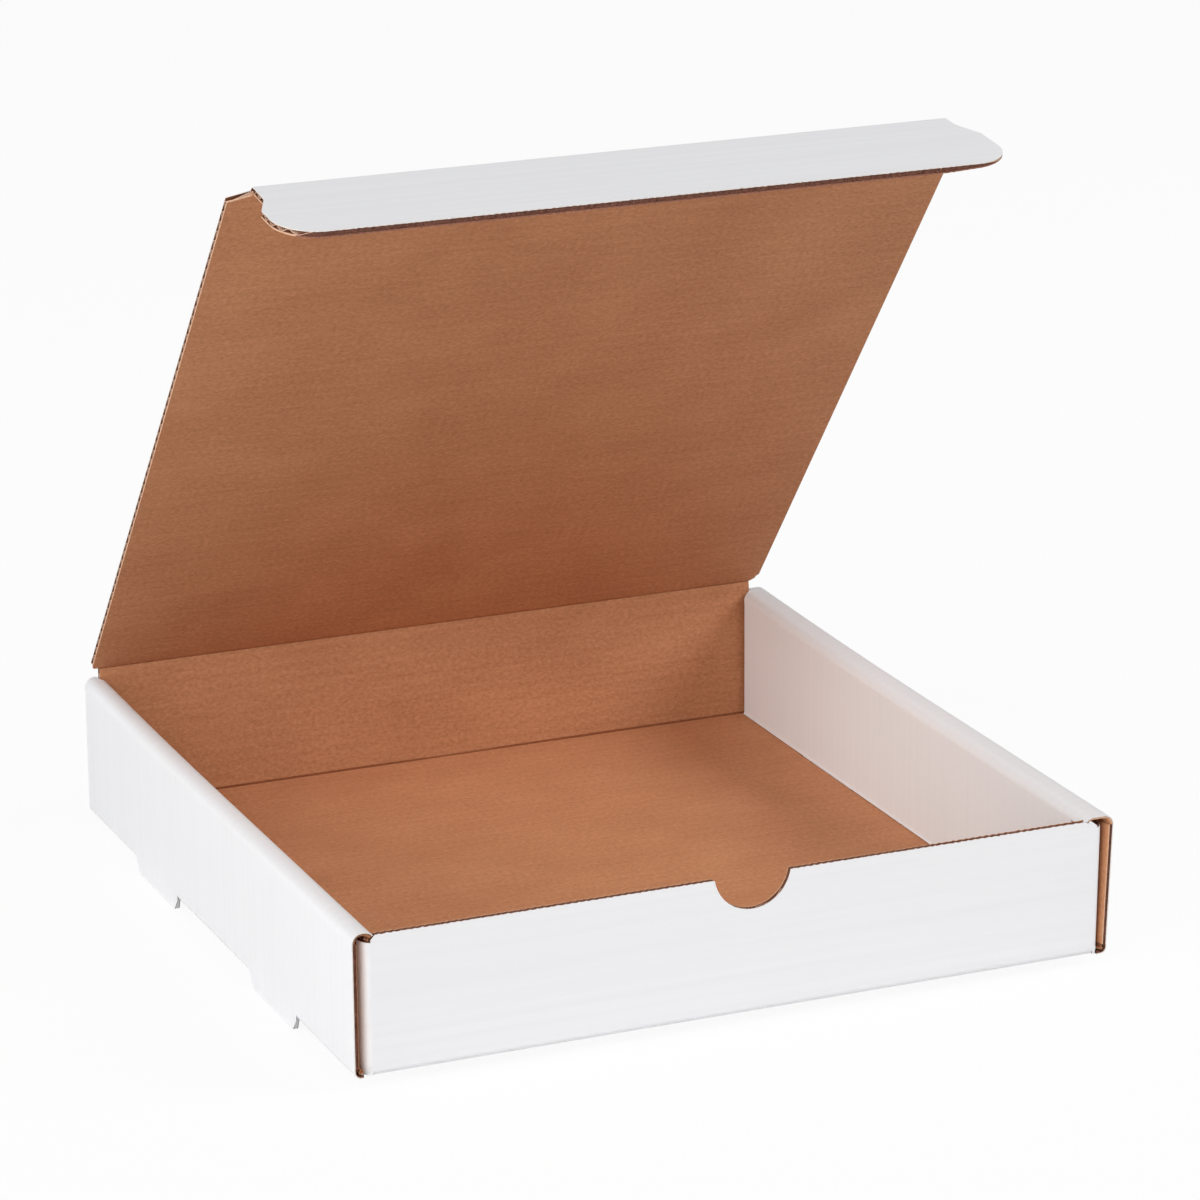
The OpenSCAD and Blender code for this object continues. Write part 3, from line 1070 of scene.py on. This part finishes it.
def buildTray():
    board, core, torn = Board(), Core(), Core()
    sheets = (board, core, torn)

    def settle(counts, rule):
        for sheet, count in zip(sheets, counts):
            sheet.points[count:] = [rule(point) for point in sheet.points[count:]]

    layFloor(board, core)
    laySideWall(board, core, torn, 1, traySettings["rightFlare"])
    laySideWall(board, core, torn, -1, traySettings["leftFlare"])
    settle([0, 0, 0], settleSideWall)
    counts = [len(sheet.points) for sheet in sheets]
    layFrontWall(board, core, torn)
    layRearWall(board, core)
    settle(counts, settleEndWall)
    pieces = [
        board.build("trayBoard"),
        fluted(core, "trayFlutes", 1.0),
        frayed(torn, "trayCutEdges", 2.0),
    ]
    for piece in pieces:
        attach(piece, "tray")
    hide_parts("tray")


lidSettings = {
    "inset": 2.7,
    "leftChamfer": 2.0,
    "rightChamfer": 6.0,
    "leftShoulder": 3.0,
    "rightShoulder": 7.0,
    "shoulderWidth": 10.3,
    "kraftRim": 0.85,  # width that the inner liner shows at a cut edge
    "endRoom": 1.8,  # left at the end for the tuck flap's crease
    "creaseRadius": 3.2,
    "creaseReach": 3.6,
    "creaseDip": 0.5,
}

lidHalf = halfWidth - lidSettings["inset"]
rootHalf = lidHalf - lidSettings["shoulderWidth"]


# Directions of a panel that leans forward by an angle: up along it, and out of its face.
def leaning(angle):
    up = Vector((0, -math.sin(angle), math.cos(angle)))
    out = Vector((0, math.cos(angle), math.sin(angle)))
    return up, out


# Where the lid's edge lies on one side, at a distance along the lid from its crease.
def lidHalfAt(along, side):
    left = side < 0
    end = lidLength - lidSettings["endRoom"]
    rise = min(1.0, max(0.0, along) / lidSettings["leftChamfer" if left else "rightChamfer"])
    near = panelHalf + (lidHalf - panelHalf) * rise ** 1.4
    shoulder = lidSettings["leftShoulder" if left else "rightShoulder"]
    fall = min(1.0, max(0.0, end - along) / shoulder)
    return side * min(near, rootHalf + lidSettings["shoulderWidth"] * fall)


def buildLid():
    board, core = Board(), Core()
    up, out = leaning(lidLean)
    reach = lidSettings["creaseReach"]
    height = lidSettings["rightChamfer"]
    end = lidLength - lidSettings["endRoom"]
    shoulders = (lidSettings["rightShoulder"], lidSettings["leftShoulder"])
    runs = [*spread(reach, height, 0.6), *spread(20, end - 20, 30), *(end - s for s in shoulders), end]
    middle = hinge.copy()
    middle.x = 0
    run = halfDepth + hinge.z
    path = [Station(middle + up * r + out * (thickness / 2), out, thickness, run + r) for r in runs]
    lows = [lidHalfAt(r, -1) for r in runs]
    highs = [lidHalfAt(r, 1) for r in runs]
    board.panel(path, xAxis, lows, highs, 10, ends=(0, 0), kraftRim=lidSettings["kraftRim"])
    back = boardSettings["flutesBack"]
    core.crossFlutes(path, xAxis, [low + back for low in lows], [high - back for high in highs])
    pieces = [board.build("lidBoard"), fluted(core, "lidFlutes", 3.0)]
    for piece in pieces:
        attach(piece, "lid")
    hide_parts("lid")


tuckSettings = {
    "length": 57.0,
    "earWidth": 6.0,
    "earRadius": 19.0,
    "leftNeck": 14.0,
    "rightNeck": 8.5,
    "earRun": 14.0,
    "kraftRim": 0.7,
    "creaseBefore": 1.7,  # how far the crease reaches on the lid, and on the flap
    "creaseAfter": 2.6,
    "toothScale": 1.5,
    "tipCrush": 1.8,  # how much thinner the board is at the right ear's tip
    "tipReach": 34.0,
}


# Ends of the tuck flap at a place across it: where its root and its free edge lie.
def tuckEdges(x):
    ear = rootHalf + tuckSettings["earWidth"]
    neck = tuckSettings["leftNeck"] if x < 0 else tuckSettings["rightNeck"]
    beyond = abs(x) - rootHalf
    low = neck + tuckSettings["earRun"] * beyond / tuckSettings["earWidth"]
    if beyond <= 0:
        low = tuckSettings["creaseAfter"]
    radius = tuckSettings["earRadius"]
    corner = max(0.0, abs(x) - (ear - radius))
    high = tuckSettings["length"] - radius + math.sqrt(max(0.0, radius**2 - corner**2))
    return low, high


def buildTuckFlap():
    board, core, torn = Board(), Core(), Core()
    up, out = leaning(lidLean + tuckFold)
    middle = tuckHinge.copy()
    middle.x = 0
    base = middle + out * (thickness / 2)
    ear = rootHalf + tuckSettings["earWidth"]
    radius = tuckSettings["earRadius"]
    run = halfDepth + hinge.z + lidLength
    turns = [ear - radius + radius * math.sin(math.radians(a)) for a in range(0, 91, 3)]
    straight = spread(radius - ear, ear - radius, boardSettings["toothStep"])
    xs = sorted({*straight, *turns, *(-x for x in turns), -rootHalf, rootHalf})

    def freeEdge(x):
        high = tuckEdges(x)[1]
        share = max(0.0, 1 - max(0.0, abs(x) - (ear - radius)) / (radius * 0.5))
        return high - tooth(x, 4.0) * tuckSettings["toothScale"] * share

    def tipCrush(x):
        reach = tuckSettings["tipReach"]
        return tuckSettings["tipCrush"] * max(0.0, 1 - (ear - x) / reach) ** 1.2

    # The flap's cut edges take the shaded copy of the kraft cut paint, save the left ear's, which takes the
    # pale one.
    def lay(places, low, ends, kraftEdge=shadedCutPaint, kraftRim=None):
        path = [Station(base + xAxis * x, out, thickness - tipCrush(x), x) for x in places]
        lows = [low if low is not None else tuckEdges(x)[0] for x in places]
        highs = [freeEdge(x) for x in places]
        before = len(board.flats)
        sides = (low is None, 1)
        board.panel(path, up, lows, highs, 8, True, ends, sides, kraftEdge=kraftEdge, kraftRim=kraftRim)
        for index in range(before, len(board.flats)):
            along, across = board.flats[index]
            board.flats[index] = (along, across + run * mm)

    lay([x for x in xs if abs(x) <= rootHalf], tuckSettings["creaseAfter"], (1, 1))
    lay([x for x in xs if x >= rootHalf - 0.001], None, (0, 1))
    leftEar = [x for x in xs if x <= 0.001 - rootHalf]
    lay(leftEar, None, (1, 0), kraftCutPaint, tuckSettings["kraftRim"])

    def sideAt(along, side):
        neck = tuckSettings["leftNeck"] if side < 0 else tuckSettings["rightNeck"]
        outX = rootHalf + tuckSettings["earWidth"] * min(1, max(0, along - neck) / tuckSettings["earRun"])
        past = max(0.0, along - (tuckSettings["length"] - radius))
        rounded = ear - radius + math.sqrt(max(0.0, radius**2 - past**2))
        return min(outX, rounded) - boardSettings["flutesBack"]

    straightEnd = tuckSettings["length"] - radius
    curve = [radius * math.sin(math.radians(a)) for a in range(0, 70, 6)]
    start = tuckSettings["creaseAfter"]
    alongs = [*spread(start, straightEnd, 3), *(straightEnd + rise for rise in curve[1:])]
    path = [Station(base + up * a, out, thickness, run + a) for a in alongs]
    lows = [-sideAt(a, -1) for a in alongs]
    highs = [sideAt(a, 1) for a in alongs]
    marks = [-ear, *(ear - tuckSettings["tipReach"] * share for share in (1, 0.5)), ear]
    for near, far in zip(marks, marks[1:]):
        nears = [max(low, min(high, near)) for low, high in zip(lows, highs)]
        fars = [max(low, min(high, far)) for low, high in zip(lows, highs)]
        core.crossFlutes(path, xAxis, nears, fars, tipCrush)
    free = [x for x in xs if abs(x) <= ear - radius * 0.35]
    torn.fray([(base + xAxis * x + up * (freeEdge(x) + 0.05), out, up, tipCrush(x)) for x in free])
    pieces = [
        board.build("tuckFlapBoard"),
        fluted(core, "tuckFlapFlutes", 5.0),
        frayed(torn, "tuckFlapCutEdge", 6.0),
    ]
    for piece in pieces:
        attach(piece, "tuck_flap")
    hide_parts("tuck_flap")


# A crease between two bodies: from one panel round to the next, where the middles of the two panels meet in
# a line.
def buildCrease(name, middle, leanBefore, leanAfter, before, after, startRun, edgeAt):
    board = Board()
    middle = middle.copy()
    middle.x = 0
    upBefore, outBefore = leaning(leanBefore)
    upAfter, outAfter = leaning(leanAfter)
    radius = lidSettings["creaseRadius"]
    half = (leanAfter - leanBefore) / 2
    tangent = (radius - thickness / 2) * math.tan(half)
    centre = middle - upBefore * tangent + outBefore * (thickness / 2 - radius)
    pinch = boardSettings["pinch"]
    path = [Station(middle - upBefore * before + outBefore * (thickness / 2), outBefore)]
    path.append(Station(middle - upBefore * (before * 0.75) + outBefore * (thickness / 2), outBefore))
    steps = 8
    for step in range(steps + 1):
        _, out = leaning(leanBefore + (leanAfter - leanBefore) * step / steps)
        dip = lidSettings["creaseDip"] * math.sin(math.pi * step / steps)
        path.append(Station(centre + out * radius, out, thickness - pinch - dip))
    path.append(Station(middle + upAfter * (after * 0.75) + outAfter * (thickness / 2), outAfter))
    path.append(Station(middle + upAfter * after + outAfter * (thickness / 2), outAfter))
    path = measured(path, startRun - before)
    lows = [edgeAt(station.run - startRun, -1) for station in path]
    highs = [edgeAt(station.run - startRun, 1) for station in path]
    board.panel(path, xAxis, lows, highs, 40, ends=(0, 0))
    piece = board.build(name)
    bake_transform(piece)


buildTray()
print("tray built")
buildLid()
buildTuckFlap()
print("lid and tuck flap built")
creaseReach = lidSettings["creaseReach"]
buildCrease(
    "lidCrease",
    hinge,
    0.0,
    lidLean,
    creaseReach,
    creaseReach,
    halfDepth + hinge.z,
    lidHalfAt,
)
buildCrease(
    "tuckFlapCrease",
    tuckHinge,
    lidLean,
    lidLean + tuckFold,
    tuckSettings["creaseBefore"],
    tuckSettings["creaseAfter"],
    halfDepth + hinge.z + lidLength,
    lambda along, side: side * rootHalf,
)
print("creases built")


stageSettings = {
    "floorColour": (0.86, 0.86, 0.86),
    "shadowHidden": 0.93,  # share of the floor that the camera sees as plain white
    "worldLight": 0.2,
    "worldColour": (0.99, 0.99, 1.0),
    "lamps": {  # place, size and power of each softbox
        "keyLamp": ((-2.2, -2.6, 3.0), 2.4, 72.0),
        "leftLamp": ((-3.6, -0.4, 1.5), 2.4, 43.0),
        "lowLamp": ((-3.2, -1.6, 0.9), 2.0, 28.0),
        "rightLamp": ((2.6, -1.4, 2.2), 2.0, 67.0),
    },
}


def makeStage():
    floorZ = trayLow.z * mm
    bpy.ops.mesh.primitive_plane_add(size=40, location=(0, 0, floorZ))
    floor = bpy.context.object
    floor.name = "floor"
    material, graph = newMaterial("paleFloor")
    seen = graph.add("ShaderNodeLightPath")
    paper = grain(graph, graph.add("ShaderNodeTexCoord", output=3), 3.0)
    pale = stageSettings["floorColour"]
    colour = mixColour(graph, paper, (*pale, 1), tuple(min(1.0, c * 1.02) for c in pale) + (1,))
    matt = graph.add("ShaderNodeBsdfDiffuse", values={"Color": colour})
    white = graph.add("ShaderNodeEmission", values={"Color": (1, 1, 1, 1), "Strength": 1.0})
    hidden = seen * stageSettings["shadowHidden"]
    mixed = graph.add("ShaderNodeMixShader", values={0: hidden, 1: matt, 2: white})
    graph.add("ShaderNodeOutputMaterial", values={"Surface": mixed})
    floor.data.materials.append(material)


def addSoftbox(name, place, size, power):
    light = bpy.data.lights.new(name, "AREA")
    light.shape = "DISK"
    light.size = size
    light.energy = power
    lamp = bpy.data.objects.new(name, light)
    lamp.location = place
    aim = Vector((0, 0, 0.1)) - Vector(place)
    lamp.rotation_euler = aim.to_track_quat("-Z", "Y").to_euler()
    bpy.context.scene.collection.objects.link(lamp)


def makeLights():
    world = bpy.data.worlds.new("studio")
    bpy.context.scene.world = world
    world.use_nodes = True
    graph = Graph(world.node_tree)
    seen = graph.add("ShaderNodeLightPath")
    colour = (*stageSettings["worldColour"], 1)
    values = {"Color": colour, "Strength": stageSettings["worldLight"]}
    light = graph.add("ShaderNodeBackground", values=values)
    white = graph.add("ShaderNodeBackground", values={"Color": (1, 1, 1, 1), "Strength": 1.0})
    mixed = graph.add("ShaderNodeMixShader", values={0: seen, 1: light, 2: white})
    graph.add("ShaderNodeOutputWorld", values={"Surface": mixed})
    for name, (place, size, power) in stageSettings["lamps"].items():
        addSoftbox(name, place, size, power)


cameraSettings = {
    "place": (-0.8189, -1.9655, 0.7959),
    "look": (0.37193, 0.87898, -0.29843),
    "roll": -0.484,  # degrees
    "lens": 153.25,
    "sensor": 36.0,
}


def makeCamera():
    camera = bpy.data.objects.new("camera", bpy.data.cameras.new("camera"))
    camera.data.lens = cameraSettings["lens"]
    camera.data.sensor_width = cameraSettings["sensor"]
    camera.data.clip_end = 100
    look = Vector(cameraSettings["look"]).to_track_quat("-Z", "Y").to_matrix().to_4x4()
    roll = Matrix.Rotation(math.radians(cameraSettings["roll"]), 4, "Z")
    camera.matrix_world = Matrix.Translation(cameraSettings["place"]) @ look @ roll
    bpy.context.scene.collection.objects.link(camera)
    bpy.context.scene.camera = camera


makeStage()
makeLights()
makeCamera()
bpy.context.scene.view_settings.view_transform = "Standard"
print("stage, lights and camera set")
